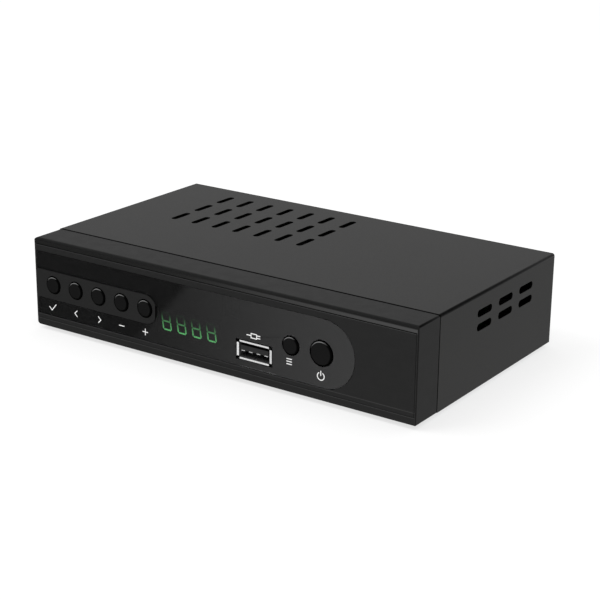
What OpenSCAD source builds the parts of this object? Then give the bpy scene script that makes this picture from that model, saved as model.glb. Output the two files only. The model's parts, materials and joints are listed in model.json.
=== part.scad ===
// Compact digital TV recorder: a bent steel case on a plastic fascia, with seven push keys, a
// smoked window over a four digit display, a front USB socket and sockets along the back.
// Design frame inside the modules: x = 0 at mid width, y = 0 at the fascia's face, z = 0 at the
// underside of the case. placed() moves that frame to the part's own origin.

/* [Case] */
// Width of the case
body_w = 168.8; // [168:0.2:176]
// Depth from the fascia's face to the cover's rear edge
body_d = 98; // [98:1:104]
// Height of the case without its feet
body_h = 34.8; // [34.4:0.1:38]
// Sheet steel thickness of the cover and the chassis
sheet_t = 0.7; // [0.6:0.1:0.8]
// Outside radius of the cover's long bends
bend_r = 1; // [0.9:0.1:2]
// Height of the rubber feet
foot_h = 1.6; // [1.2:0.1:3]
// Diameter of the rubber feet
foot_d = 11; // [9:0.5:13]

/* [Fascia] */
// Depth of the fascia back to the seam with the cover
fascia_d = 13.6; // [13.6:0.1:14]
// Thickness of the fascia's side, top and bottom walls
fascia_wall = 2; // [1.6:0.1:2.2]
// Thickness of the fascia's front wall
front_wall = 3.2; // [3:0.1:3.3]
// Rounding of the fascia's upper front edge
brow_r = 1.3; // [1.1:0.1:2.3]
// Height of the groove under the fascia's brow
brow_groove_z = 32.3; // [32.2:0.1:32.4]
// Height of the groove over the fascia's sill
sill_groove_z = 2.9; // [2.6:0.1:3.4]

/* [Window] */
// Left end of the smoked window, from mid width
window_left = -83.2; // [-83.3:0.1:-82]
// Right end of the smoked window, from mid width
window_right = 60.4; // [58:0.1:64]
// Height of the smoked window, twice the radius of its round end
window_h = 25; // [24:0.1:25.4]
// Thickness of the smoked window
window_t = 1.4; // [1.2:0.1:1.5]
// Height of the window's middle above the case's underside
window_z = 17.2; // [17:0.1:17.4]

/* [Keys] */
// Spacing of the five keys in the left row
key_pitch = 11.2; // [10.5:0.1:11.4]
// Middle of the first key, from mid width
first_key_x = -75.2; // [-76:0.1:-74]
// Middle of the menu key, from mid width
menu_key_x = 34.3; // [33:0.1:35]
// Middle of the power key, from mid width
power_key_x = 46.9; // [46:0.1:48]
// Diameter of the small keys' holes
key_hole_d = 7.2; // [6.8:0.1:7.2]
// Diameter of the power key's hole
power_hole_d = 9.5; // [9:0.1:10]
// Gap round each key
key_gap = 0.4; // [0.3:0.05:0.5]
// How far the keys stand out of the face
key_proud = 0.6; // [0.4:0.1:0.8]
// How far a key travels
key_travel = 0.5; // [0.2:0.05:0.5]

/* [Display] */
// Middle of the display, from mid width
display_x = -11; // [-12:0.1:-10.5]
// Height of the display's middle
display_z = 13.9; // [13.5:0.1:14.2]
// Height of a digit
digit_h = 6.9; // [6:0.1:7.2]
// Width of a digit
digit_w = 4.1; // [3.6:0.1:4.4]
// Spacing of the digits
digit_pitch = 6.8; // [6.4:0.1:7]
// Width of a lit segment
segment_w = 0.55; // [0.5:0.05:0.8]
// Lean of the digits, sideways per unit of height
digit_lean = -0.14; // [-0.2:0.02:0.2]

/* [Vents] */
// Length of a slot in the top
vent_l = 10.4; // [8:0.1:11]
// Width of a slot in the top
vent_w = 2.6; // [1.6:0.1:2.8]
// Spacing of the top's slots across the case
vent_pitch_x = 9.95; // [8:0.05:10.2]
// Spacing of the top's rows from front to back
vent_pitch_y = 14.5; // [13:0.1:15]

/* [Hidden] */
$fn = 64;

// Overall depth, from the keys' faces to the ends of the aerial sockets
socket_proud = 8;
overall_d = key_proud + body_d + socket_proud;
front_y = key_proud - overall_d / 2;

half_w = body_w / 2;
gap = 0.1;                                   // clearance between fixed neighbours
seam = 0.5;                                  // gap between the fascia and the cover
cover_front = fascia_d + seam;
cover_inner = half_w - sheet_t;              // inner face of the cover's sides
rear_y = body_d - sheet_t - gap;             // outer face of the chassis's rear wall
lip_z = body_h - 7.3;                        // lower edge of the cover's rear lip
lip_reach = 3.2;                             // how far the fascia's lip goes under the cover

// Front board and its switches, from front to back
switch_y = 5.9;
switch_side = 6;
switch_plate_t = 0.3;
board_t = 1.6;
front_board_y = 9.3;
front_board_bottom = 9.2;
front_board_top = 31.6;
plunger_d = 3.4;
plunger_bore_d = 3.7;
plunger_y = 4.9;
plunger_in = 0.8;                            // how far a plunger sits in its switch at rest
stem_d = 3.6;
flange_y = front_wall + 0.2;
flange_t = 1;
flange_extra = 2.2;                          // flange diameter over the cap's

// Main board
board_z = 6.5;
board_top = board_z + board_t;
board_half_w = 76;
board_front = 15.6;
board_rear = 95.4;
board_holes = [[-71, 21], [71, 21], [-71, 76], [34, 89]];
board_hole_d = 3.2;

// Key row, in order from the left
keys_x = [for (i = [0:4]) first_key_x + i * key_pitch];
all_keys_x = concat(keys_x, [menu_key_x, power_key_x]);

// Keypad island, the raised strip round the left row of keys
island_r = 5.6;
island_z = 17;
island_right = keys_x[4] + island_r;

// Front USB socket
usb_x = 18.7;
usb_z = 11;
usb_w = 13.2;
usb_h = 5.8;
usb_wall = 0.3;
usb_mouth_w = 15;
usb_mouth_h = 7;
usb_rear = 14.4;
usb_cut_extra = 0.6;
usb_tongue_low = -0.1;                       // underside of the tongue, from the socket's middle

// Sockets along the back, from mid width
aerial_x = 50;
loop_x = 66;
aerial_z = 15.1;
hdmi_x = 19;
av_x = [-17, -31, -45];                      // video, left audio, right audio
av_z = 14.3;
dc_x = -64;
dc_z = 13.6;
dc_nose_d = 8;
av_flange_d = 10.4;
collar_d = 12.4;
wall_cut_extra = 0.5;                        // cut-out clearance in the rear wall

// Fastener places
boss_places = [[-67, 27.6], [-24, 27.6], [51, 27.6]];
cover_screw_x = [-74, 0, 74];
cover_screw_z = body_h - 3.6;
fascia_screw_x = [-60, 60];
fascia_screw_y = 9.5;
fascia_screw_head_h = 1.1;
fascia_screw_seat = 1.3;                     // depth of the countersunk seats in the fascia
fascia_screw_hole_d = 3;
tongue_z = 2.2;                              // underside of the chassis's front tongues
infrared_x = 8;
infrared_z = 25.2;

// ---------------------------------------------------------------- shared shapes

module placed() {
    translate([0, front_y, foot_h]) children();
}

// Extrudes an outline drawn in x and z along +y
module along_y(length) {
    translate([0, length, 0]) rotate([90, 0, 0]) linear_extrude(length) children();
}

// Extrudes an outline drawn in y and z along +x
module along_x(length) {
    rotate([90, 0, 90]) linear_extrude(length) children();
}

// Turns an outline of radius and y round the y axis
module turned() {
    rotate([-90, 0, 0]) rotate_extrude() children();
}

module disc_y(d, length) {
    rotate([-90, 0, 0]) cylinder(d = d, h = length);
}

// Rectangle from one corner to the other with four round corners
module rounded_rect(low, high, r) {
    size = high - low;
    translate(low + [r, 0]) square([size.x - 2 * r, size.y]);
    translate(low + [0, r]) square([size.x, size.y - 2 * r]);
    for (x = [low.x + r, high.x - r], y = [low.y + r, high.y - r]) translate([x, y]) circle(r);
}

// Slot with round ends, its long side along x
module slot_outline(length, width) {
    square([length - width, width], center = true);
    for (side = [-1, 1]) translate([side * (length - width) / 2, 0]) circle(d = width);
}

// Strip with a square left end and a round right end
module strip_outline(left, right, mid_z, r) {
    translate([left, mid_z - r]) square([right - r - left, 2 * r]);
    translate([right - r, mid_z]) circle(r);
}

module window_outline(grow) {
    strip_outline(window_left - grow, window_right + grow, window_z, window_h / 2 + grow);
}

module island_outline(grow) {
    strip_outline(window_left - 1, island_right + grow, island_z, island_r + grow);
}

module usb_cut() {
    translate([usb_x, usb_z])
        square([usb_mouth_w + usb_cut_extra, usb_mouth_h + usb_cut_extra], center = true);
}

// Pan head screw along -z from a head that stands on z = 0, with a cross recess
module pan_screw(head_d, head_h, shank_d, length) {
    difference() {
        union() {
            rotate_extrude() {
                square([head_d / 2 - 0.4, head_h]);
                square([head_d / 2, head_h - 0.4]);
                translate([head_d / 2 - 0.4, head_h - 0.4]) circle(0.4);
            }
            translate([0, 0, -length]) cylinder(d = shank_d, h = length + 0.1);
        }
        for (a = [0, 90]) rotate([0, 0, a])
            translate([-head_d * 0.3, -0.35, head_h - 0.7]) cube([head_d * 0.6, 0.7, 1]);
    }
}

// ---------------------------------------------------------------- case

module cover_vents() {
    first_x = -57.4;
    first_y = 55;
    for (row = [0:2], i = [0:6])
        translate([first_x + i * vent_pitch_x, first_y + row * vent_pitch_y, body_h - 3])
            linear_extrude(6) rotate([0, 0, 90]) slot_outline(vent_l, vent_w);
}

module side_vents() {
    side_vent_l = 10.4;
    side_vent_w = 2.7;
    for (row = [22.5, 27.6], y = [44.8, 60.2, 75.6])
        translate([-half_w - 1, y, row])
            along_x(body_w + 2) slot_outline(side_vent_l, side_vent_w);
}

module top_cover() {
    length = body_d - cover_front;
    inner_r = bend_r - sheet_t;
    color("#3c3c3b") placed() difference() {
        translate([0, cover_front, 0]) difference() {
            along_y(length) rounded_rect([-half_w, -5], [half_w, body_h], bend_r);
            translate([0, -1, 0]) along_y(length + 1 - sheet_t)
                rounded_rect([-cover_inner, -6], [cover_inner, body_h - sheet_t], inner_r);
            translate([-body_w, -1, -10]) cube([2 * body_w, length + 2, 10]);
            translate([-cover_inner, 0, -1]) cube([2 * cover_inner, length + 2, lip_z + 1]);
        }
        cover_vents();
        side_vents();
        for (x = cover_screw_x) translate([x, body_d - 2, cover_screw_z]) disc_y(3.4, 3);
    }
}

// Slots in the floor, in three columns on each side of the rating label
module chassis_vents() {
    for (side = [-1, 1], i = [0:2], y = [42, 56, 70])
        translate([side * (38 + i * 8), y, -1])
            linear_extrude(3) rotate([0, 0, 90]) slot_outline(11, 2.4);
}

module rear_wall_cuts() {
    cut = sheet_t + 2;
    translate([0, rear_y - cut + 1, 0]) {
        for (x = [aerial_x, loop_x]) translate([x, 0, aerial_z])
            disc_y(collar_d + wall_cut_extra, cut);
        for (x = av_x) translate([x, 0, av_z]) disc_y(av_flange_d + wall_cut_extra, cut);
        translate([dc_x, 0, dc_z]) disc_y(dc_nose_d + wall_cut_extra, cut);
        translate([hdmi_x - 8, 0, board_top - 0.3]) cube([16, cut, 6.8]);
        for (x = cover_screw_x) translate([x, 0, cover_screw_z]) disc_y(3.1, cut);
    }
}

module chassis_tongue(x) {
    width = 22;
    reach = 8.2;
    difference() {
        translate([x - width / 2, cover_front, 0]) {
            cube([width, sheet_t, tongue_z + sheet_t]);
            translate([0, -reach, tongue_z]) cube([width, reach + sheet_t, sheet_t]);
        }
        translate([x, fascia_screw_y, 0]) cylinder(d = fascia_screw_hole_d, h = 5);
    }
}

module bottom_chassis() {
    side_x = cover_inner - gap;
    color("#8f9294") placed() difference() {
        union() {
            translate([-side_x, cover_front, 0])
                cube([2 * side_x, rear_y - cover_front, sheet_t]);
            translate([-side_x, rear_y - sheet_t, 0])
                cube([2 * side_x, sheet_t, body_h - sheet_t - gap]);
            for (x = fascia_screw_x) chassis_tongue(x);
        }
        rear_wall_cuts();
        chassis_vents();
    }
}

module rubber_feet() {
    edge = 0.5;
    color("#141414") placed() for (x = [-68, 68], y = [24, 84])
        translate([x, y, -foot_h]) rotate_extrude() {
            square([foot_d / 2 - edge, foot_h]);
            translate([0, edge]) square([foot_d / 2, foot_h - edge]);
            translate([foot_d / 2 - edge, edge]) circle(edge);
        }
}

module rating_label() {
    label = [60, 34, 0.15];
    color("#c9c9c6") placed() translate([-label.x / 2, 39, -label.z]) cube(label);
}

module cover_screws() {
    color("#1d1d1d") placed() for (x = cover_screw_x)
        translate([x, body_d, cover_screw_z]) rotate([-90, 0, 0]) pan_screw(5.6, 1.7, 2.9, 6);
}

module fascia_screws() {
    color("#8d9092") placed() for (x = fascia_screw_x)
        translate([x, fascia_screw_y, fascia_screw_seat]) rotate([180, 0, 0])
            pan_screw(5, fascia_screw_head_h, 2.9, 3.6);
}

// ---------------------------------------------------------------- fascia and window

// Side outline of the fascia: round brow, small radius at the sill
module fascia_profile() {
    sill_r = 0.3;
    translate([brow_r, 0]) square([fascia_d - brow_r, body_h]);
    translate([0, sill_r]) square([brow_r + 0.1, body_h - brow_r - sill_r]);
    translate([brow_r, body_h - brow_r]) circle(brow_r);
    translate([sill_r, 0]) square([brow_r, 2 * sill_r]);
    translate([sill_r, sill_r]) circle(sill_r);
}

// Front outline of the fascia: soft corners on the left, tighter ones on the right
module fascia_outline() {
    left_r = 1.9;
    top_right_r = 0.8;
    low_right_r = 0.4;
    translate([left_r - half_w, 0]) square([body_w - left_r - top_right_r, body_h]);
    translate([-half_w, left_r]) square([left_r + 1, body_h - 2 * left_r]);
    translate([half_w - top_right_r - 1, low_right_r])
        square([top_right_r + 1, body_h - top_right_r - low_right_r]);
    for (z = [left_r, body_h - left_r]) translate([left_r - half_w, z]) circle(left_r);
    translate([half_w - top_right_r, body_h - top_right_r]) circle(top_right_r);
    translate([half_w - low_right_r - 1, 0]) square([1, 2 * low_right_r]);
    translate([half_w - low_right_r, low_right_r]) circle(low_right_r);
}

module fascia_block() {
    edge_r = 0.5;
    intersection() {
        along_y(fascia_d) fascia_outline();
        translate([-half_w, 0, 0]) along_x(body_w) fascia_profile();
        linear_extrude(body_h)
            rounded_rect([-half_w, 0], [half_w, fascia_d + 4 * edge_r], edge_r);
    }
}

// Lip behind the seam, which the cover slides over
module fascia_lip() {
    lip_t = 1.1;
    outer = cover_inner - gap;
    top = body_h - sheet_t - gap;
    translate([0, fascia_d - 2, 0]) difference() {
        translate([-outer, 0, 4]) cube([2 * outer, 2 + lip_reach, top - 4]);
        translate([lip_t - outer, -1, 0]) cube([2 * (outer - lip_t), 4 + lip_reach, top - lip_t]);
    }
}

// Shallow lines round the front panel: under the brow, down the right end and over the sill
module fascia_grooves() {
    brow_line = 0.4;
    fine_line = 0.25;
    fine_depth = 0.15;
    right = half_w - 0.6;
    translate([window_left, -1, brow_groove_z - brow_line / 2])
        cube([right - window_left, 1 + brow_line, brow_line]);
    translate([window_left, -1, sill_groove_z - fine_line / 2])
        cube([right - window_left, 1 + fine_depth, fine_line]);
    translate([right - fine_line, -1, sill_groove_z - fine_line / 2])
        cube([fine_line, 1 + fine_depth, brow_groove_z - sill_groove_z]);
}

module fascia_openings() {
    for (x = keys_x) translate([x, -1, window_z]) disc_y(key_hole_d, front_wall + 2);
    translate([menu_key_x, -1, window_z]) disc_y(key_hole_d, front_wall + 2);
    translate([power_key_x, -1, window_z]) disc_y(power_hole_d, front_wall + 2);
    translate([display_x - 14.6, 0, display_z - 5.3]) cube([29.2, front_wall + 1, 10.6]);
    translate([infrared_x - 3.6, 0, infrared_z - 4]) cube([7.2, front_wall + 1, 8]);
    along_y(front_wall + 1) usb_cut();
}

module front_fascia() {
    color("#262626") placed() difference() {
        union() {
            difference() {
                fascia_block();
                translate([fascia_wall - half_w, front_wall, fascia_wall])
                    cube([body_w - 2 * fascia_wall, fascia_d, body_h - 2 * fascia_wall]);
            }
            fascia_lip();
            for (p = boss_places) translate([p.x, front_wall - 0.5, p.y])
                disc_y(5, front_board_y - front_wall + 0.5);
        }
        along_y(window_t + 0.1) difference() {
            window_outline(0.1);
            island_outline(0);
        }
        fascia_openings();
        fascia_grooves();
        for (p = boss_places) translate([p.x, front_wall + 1.6, p.y]) disc_y(2.4, 10);
        for (x = fascia_screw_x) translate([x, fascia_screw_y, -1]) {
            cylinder(d = fascia_screw_hole_d, h = 5);
            cylinder(d = 5.4, h = 1 + fascia_screw_seat);
        }
    }
}

module display_window() {
    color("#1b1b1b") placed() difference() {
        translate([0, gap / 2, 0]) along_y(window_t - gap / 2) difference() {
            window_outline(0);
            island_outline(0.1);
            usb_cut();
        }
        translate([menu_key_x, -1, window_z]) disc_y(key_hole_d, 4);
        translate([power_key_x, -1, window_z]) disc_y(power_hole_d, 4);
    }
}

// ---------------------------------------------------------------- keys and switches

// Cap with a rounded front edge, a flange behind the wall and a stem to its switch
module key(x, hole_d) {
    cap_r = hole_d / 2 - key_gap;
    edge_r = 0.8;
    color("#1c1c1c") placed() translate([x, -key_proud, window_z]) turned() {
        square([cap_r - edge_r, flange_y + key_proud]);
        translate([0, edge_r]) square([cap_r, flange_y + key_proud - edge_r]);
        translate([cap_r - edge_r, edge_r]) circle(edge_r);
        translate([0, flange_y + key_proud]) square([cap_r + flange_extra / 2, flange_t]);
        translate([0, flange_y + key_proud]) square([stem_d / 2, plunger_y - flange_y]);
    }
}

module plunger(x) {
    color("#2b2b2b") placed() translate([x, plunger_y, window_z])
        disc_y(plunger_d, switch_y - plunger_y + plunger_in);
}

module switch_bodies() {
    depth = front_board_y - switch_y;
    color("#222222") placed() for (x = all_keys_x) translate([x, switch_y, window_z])
        difference() {
            translate([-switch_side / 2, 0, -switch_side / 2])
                cube([switch_side, depth, switch_side]);
            translate([0, -1, 0]) disc_y(plunger_bore_d, 1 + plunger_in + key_travel + 0.5);
        }
}

module switch_plates() {
    color("#b9bcbf") placed() for (x = all_keys_x)
        translate([x, switch_y - switch_plate_t, window_z]) difference() {
            translate([-switch_side / 2, 0, -switch_side / 2])
                cube([switch_side, switch_plate_t, switch_side]);
            translate([0, -1, 0]) disc_y(plunger_bore_d, 3);
        }
}

// ---------------------------------------------------------------- front board

module front_board() {
    left = -80.5;
    right = 56.5;
    notch_w = 18;
    color("#1f5a34") placed() difference() {
        translate([left, front_board_y, front_board_bottom])
            cube([right - left, board_t, front_board_top - front_board_bottom]);
        translate([usb_x - notch_w / 2, 0, 0]) cube([notch_w, 30, usb_z + 5.2]);
        for (p = boss_places) translate([p.x, 0, p.y]) disc_y(2.6, 20);
    }
}

module front_board_screws() {
    color("#9a9da0") placed() for (p = boss_places)
        translate([p.x, front_board_y + board_t, p.y])
            rotate([-90, 0, 0]) pan_screw(4.4, 1.5, 2.2, 5.6);
}

// Pointed bar between two corners of a digit
function bar(p, q, width, inset) =
    let (along = (q - p) / norm(q - p), side = [-along.y, along.x] * width / 2,
         a = p + along * inset, b = q - along * inset, nose = along * width / 2)
    [a, a + nose + side, b - nose + side, b, b - nose - side, a + nose - side];

function leaned(points) = [for (p = points) [p.x + digit_lean * p.y, p.y]];

module digit(width, inset) {
    half = [(digit_w - segment_w) / 2, (digit_h - segment_w) / 2];
    corners = [for (z = [-1, 0, 1]) for (x = [-1, 1]) [x * half.x, z * half.y]];
    pairs = [[0, 1], [2, 3], [4, 5], [0, 2], [1, 3], [2, 4], [3, 5]];
    for (pair = pairs) polygon(leaned(bar(corners[pair[0]], corners[pair[1]], width, inset)));
}

module digits(depth, width, inset) {
    for (i = [0:3])
        translate([display_x + (i - 1.5) * digit_pitch, 0, display_z])
            along_y(depth) digit(width, inset);
}

display_y = window_t + 0.3;                  // face of the display, behind the window
segment_depth = 0.4;

module display_module() {
    body = [28.6, front_board_y - display_y, 10];
    color("#0d0d0d") placed() difference() {
        translate([display_x - body.x / 2, display_y, display_z - body.z / 2]) cube(body);
        translate([0, display_y - 0.1, 0]) digits(segment_depth + 0.1, segment_w + 0.06, 0.07);
    }
}

module display_segments() {
    color("#3fae5c") placed() translate([0, display_y, 0])
        digits(segment_depth - 0.05, segment_w, 0.1);
}

module infrared_receiver() {
    body = [6, 3.6, 7];
    dome_r = 2.4;
    color("#17151a") placed() {
        translate([infrared_x - body.x / 2, front_board_y - body.y, infrared_z - body.z / 2])
            cube(body);
        translate([infrared_x, front_board_y - body.y + 0.2, infrared_z]) intersection() {
            sphere(dome_r);
            translate([-dome_r, -dome_r, -dome_r]) cube([2 * dome_r, dome_r + 0.1, 2 * dome_r]);
        }
    }
}

// ---------------------------------------------------------------- front USB socket

// One flared lip of the socket's mouth, on the side that face_angle points to
module usb_lip(face_angle, half_size, width) {
    flare = 42;
    length = 1.15;
    rotate([0, face_angle, 0]) translate([-width / 2, length, half_size - usb_wall])
        rotate([-flare, 0, 0]) translate([0, -length - 0.2, 0])
            cube([width, length + 0.2, usb_wall]);
}

module usb_shell() {
    lip_root = 0.7;
    color("#c4c6c9") placed() translate([usb_x, 0, usb_z]) {
        difference() {
            translate([-usb_w / 2, lip_root, -usb_h / 2]) cube([usb_w, usb_rear - lip_root, usb_h]);
            translate([usb_wall - usb_w / 2, 0, usb_wall - usb_h / 2])
                cube([usb_w - 2 * usb_wall, usb_rear - usb_wall, usb_h - 2 * usb_wall]);
        }
        for (a = [0, 180]) translate([0, lip_root - 0.95, 0]) usb_lip(a, usb_h / 2, usb_w - 1);
        for (a = [90, 270]) translate([0, lip_root - 0.95, 0]) usb_lip(a, usb_w / 2, usb_h - 0.6);
    }
}

module usb_tongue() {
    tongue = [12, 10, 1.8];
    block_y = 10.2;
    inner_w = usb_w - 2 * usb_wall - 0.2;
    inner_h = usb_h - 2 * usb_wall - 0.2;
    color("#2a2b2d") placed() translate([usb_x, 0, usb_z]) {
        translate([-tongue.x / 2, 0.4, usb_tongue_low]) cube(tongue);
        translate([-inner_w / 2, block_y, -inner_h / 2])
            cube([inner_w, usb_rear - usb_wall - 0.1 - block_y, inner_h]);
    }
}

module usb_contacts() {
    strip_w = 1.5;
    strip_t = 0.35;
    pitch = 3.3;
    color("#c4c6c9") placed() for (i = [-1.5:1.5])
        translate([usb_x + i * pitch - strip_w / 2, 0.5, usb_z + usb_tongue_low - strip_t])
            cube([strip_w, 9.6, strip_t]);
}

// ---------------------------------------------------------------- main board

module main_board() {
    tongue_w = 21;
    tongue_front = 4;
    color("#1f5a34") placed() difference() {
        union() {
            translate([-board_half_w, board_front, board_z])
                cube([2 * board_half_w, board_rear - board_front, board_t]);
            translate([usb_x - tongue_w / 2, tongue_front, board_z])
                cube([tongue_w, board_front - tongue_front + 0.1, board_t]);
        }
        for (p = board_holes) translate([p.x, p.y, 0]) cylinder(d = board_hole_d, h = 20);
    }
}

module board_standoffs() {
    color("#b4a26a") placed() for (p = board_holes) translate([p.x, p.y, sheet_t])
        difference() {
            cylinder(d = 5.5, h = board_z - sheet_t);
            translate([0, 0, -1]) cylinder(d = 2.7, h = board_z + 2);
        }
}

module board_screws() {
    color("#b9bcbf") placed() for (p = board_holes)
        translate([p.x, p.y, board_top]) pan_screw(5.4, 1.6, 2.5, 5.4);
}

// Chip package with a bevelled lid, its base on the board
module chip(x, y, width, depth, height) {
    translate([x - width / 2, y - depth / 2, board_top]) {
        cube([width, depth, height * 0.6]);
        translate([0.3, 0.3, 0]) cube([width - 0.6, depth - 0.6, height]);
    }
}

processor_place = [6, 52];
processor_h = 1.3;
pad_t = 0.4;

module processor() {
    color("#18181a") placed() chip(processor_place.x, processor_place.y, 15, 15, processor_h);
}

module thermal_pad() {
    color("#9fb4c4") placed()
        translate([processor_place.x - 6.5, processor_place.y - 6.5, board_top + processor_h])
            cube([13, 13, pad_t]);
}

module heat_sink() {
    side = 22;
    base_t = 1.6;
    fin_t = 1;
    fin_h = 8.4;
    fins = 7;
    step = (side - fin_t) / (fins - 1);
    color("#a9acae") placed()
        translate([processor_place.x - side / 2, processor_place.y - side / 2,
                   board_top + processor_h + pad_t]) {
            cube([side, side, base_t]);
            for (i = [0:fins - 1]) translate([i * step, 0, 0]) cube([fin_t, side, base_t + fin_h]);
        }
}

module memory_chips() {
    color("#18181a") placed() {
        chip(-16, 46, 9, 13, 1.1);
        chip(-14, 66, 6, 5, 1.4);
        chip(34, 62, 5, 6, 1.4);
    }
}

module capacitors() {
    color("#23262e") placed() for (p = [[-60, 58], [-50, 58], [-60, 68], [52, 40], [62, 40]])
        translate([p.x, p.y, board_top]) rotate_extrude() {
            square([2.75, 11]);
            translate([0, 0.6]) square([3.15, 9.9]);
        }
}

module inductors() {
    color("#3a3d40") placed() for (p = [[-44, 68], [-36, 58], [40, 44]])
        translate([p.x - 3, p.y - 3, board_top]) intersection() {
            cube([6, 6, 3.2]);
            translate([3, 3, -1]) cylinder(r = 3.9, h = 6);
        }
}

module crystal() {
    color("#c4c6c9") placed() translate([22, 38, board_top])
        linear_extrude(3.6) slot_outline(11, 4.6);
}

// Ribbon between the headers: level, round a quarter turn, then down to the main board
ribbon_x = -50;
ribbon_w = 13;
ribbon_t = 0.6;
ribbon_header = [16, 2.6, 5];
ribbon_top = 22;
ribbon_level = 3.2;
ribbon_bend = 4;

module ribbon_headers() {
    rear = front_board_y + board_t;
    drop_y = rear + ribbon_header.y + ribbon_level + ribbon_bend;
    color("#e6e2d6") placed() {
        translate([ribbon_x - ribbon_header.x / 2, rear, ribbon_top - ribbon_header.z / 2])
            cube(ribbon_header);
        translate([ribbon_x - ribbon_header.x / 2, drop_y - ribbon_header.z / 2, board_top])
            cube([ribbon_header.x, ribbon_header.z, ribbon_header.z]);
    }
}

module ribbon_cable() {
    start = front_board_y + board_t + ribbon_header.y;
    bend_y = start + ribbon_level;
    bend_z = ribbon_top - ribbon_bend;
    foot = board_top + ribbon_header.z;
    outer = ribbon_bend + ribbon_t / 2;
    inner = ribbon_bend - ribbon_t / 2;
    color("#d8d4c8") placed() translate([ribbon_x - ribbon_w / 2, 0, 0]) along_x(ribbon_w) {
        translate([start, ribbon_top - ribbon_t / 2]) square([ribbon_level, ribbon_t]);
        translate([bend_y, bend_z]) intersection() {
            difference() {
                circle(outer);
                circle(inner);
            }
            square(outer + 1);
        }
        translate([bend_y + inner, foot]) square([ribbon_t, bend_z - foot]);
    }
}

// ---------------------------------------------------------------- sockets along the back

tuner = [36, 23.6, 13];
tuner_rear = 95.8;
sleeve_end = body_d + socket_proud;

module tuner_can() {
    wall = 0.5;
    color("#c0c3c6") placed()
        translate([(aerial_x + loop_x) / 2 - tuner.x / 2, tuner_rear - tuner.y, board_top])
            difference() {
                cube(tuner);
                translate([wall, wall, -1]) cube([tuner.x - 2 * wall, tuner.y - 2 * wall, tuner.z + 0.5]);
                for (i = [0:4]) translate([5 + i * 6.5, 6, tuner.z - 2]) cylinder(d = 2.4, h = 3);
            }
}

// Pin with a thinner root that its holder grips, along +y from the holder's face
module socket_pin(d, root_d, root_l, length) {
    translate([0, -root_l, 0]) disc_y(root_d, root_l + 0.1);
    disc_y(d, length);
}

// Sleeve of an aerial socket, with a collar in the rear wall's hole
module aerial_sleeve(x, outer_d, inner_d) {
    collar_end = rear_y + 1.4;
    color("#b9bcbf") placed() translate([x, tuner_rear, aerial_z]) difference() {
        union() {
            disc_y(collar_d, collar_end - tuner_rear);
            disc_y(outer_d, sleeve_end - tuner_rear);
        }
        translate([0, 0.6, 0]) disc_y(inner_d, sleeve_end);
    }
}

insulator_y = tuner_rear + 0.7;
insulator_l = 3;

module aerial_insulator(x, inner_d, core_d) {
    color("#e8e6df") placed() translate([x, insulator_y, aerial_z]) difference() {
        disc_y(inner_d - 0.1, insulator_l);
        translate([0, -1, 0]) disc_y(core_d + 0.05, insulator_l + 2);
    }
}

aerial_in_inner_d = 9.6;
contact_d = 3.6;
contact_bore_d = 2.4;
loop_outer_d = 9.5;
loop_inner_d = 8.4;
loop_pin_d = 2.38;
loop_pin_root_d = 2;

module aerial_in_contact() {
    length = 8;
    floor_t = 0.6;
    color("#c9b98a") placed() translate([aerial_x, sleeve_end - 0.8 - length, aerial_z]) turned() {
        square([contact_d / 2, floor_t]);
        translate([contact_bore_d / 2, 0]) square([(contact_d - contact_bore_d) / 2, length]);
    }
}

module loop_out_pin() {
    root_y = insulator_y + insulator_l;
    color("#c9b98a") placed() translate([loop_x, root_y, aerial_z])
        socket_pin(loop_pin_d, loop_pin_root_d, 2.4, sleeve_end - 0.6 - root_y);
}

// HDMI mouth outline, pulled in by inset
function hdmi_outline(inset) =
    let (h = 6, wide = 7.5 - inset, narrow = 6 - inset)
    [[-wide, h - inset], [-wide, 2.3], [-narrow, 0.8], [-narrow, inset],
     [narrow, inset], [narrow, 0.8], [wide, 2.3], [wide, h - inset]];

hdmi_y = 85.4;

module hdmi_shell() {
    length = rear_y + 0.6 - hdmi_y;
    color("#c4c6c9") placed() translate([hdmi_x, hdmi_y, board_top]) difference() {
        along_y(length) polygon(hdmi_outline(0));
        translate([0, 1, 0]) along_y(length) polygon(hdmi_outline(0.35));
    }
}

module hdmi_tongue() {
    color("#161616") placed() translate([hdmi_x, hdmi_y + 1.1, board_top]) {
        along_y(2) polygon(hdmi_outline(0.45));
        translate([-6, 1.9, 2.6]) cube([12, 8.2, 1.1]);
    }
}

av_block_y = 85.6;
av_block_rear = 95.9;
av_barrel_d = 8.3;
av_core_d = 7.2;
av_bore_d = 3.3;

module av_jack_block() {
    left = av_x[2] - 6.6;
    right = av_x[0] + 6.6;
    color("#161616") placed()
        translate([left, av_block_y, board_top])
            cube([right - left, av_block_rear - av_block_y, 12.6]);
}

// Coloured insert of one jack: flange in the rear wall's hole, and a core with the centre hole
module av_insert(x, shade) {
    flange_end = rear_y + 1.2;
    core_end = sleeve_end - 1;
    color(shade) placed() translate([x, av_block_rear, av_z]) difference() {
        union() {
            disc_y(av_flange_d, flange_end - av_block_rear);
            disc_y(av_core_d, core_end - av_block_rear);
        }
        translate([0, 0.8, 0]) disc_y(av_bore_d, core_end);
    }
}

module av_jack_barrels() {
    start = rear_y + 1.2;
    color("#c4c6c9") placed() for (x = av_x) translate([x, start, av_z]) difference() {
        disc_y(av_barrel_d, sleeve_end - 0.6 - start);
        translate([0, -1, 0]) disc_y(av_core_d + 0.1, 20);
    }
}

dc_y = 83.2;
dc_floor_y = dc_y + 4;                       // bottom of the hole that the plug enters
dc_hole_d = 5.8;
dc_pin_d = 2;
dc_pin_root_d = 1.6;

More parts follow.
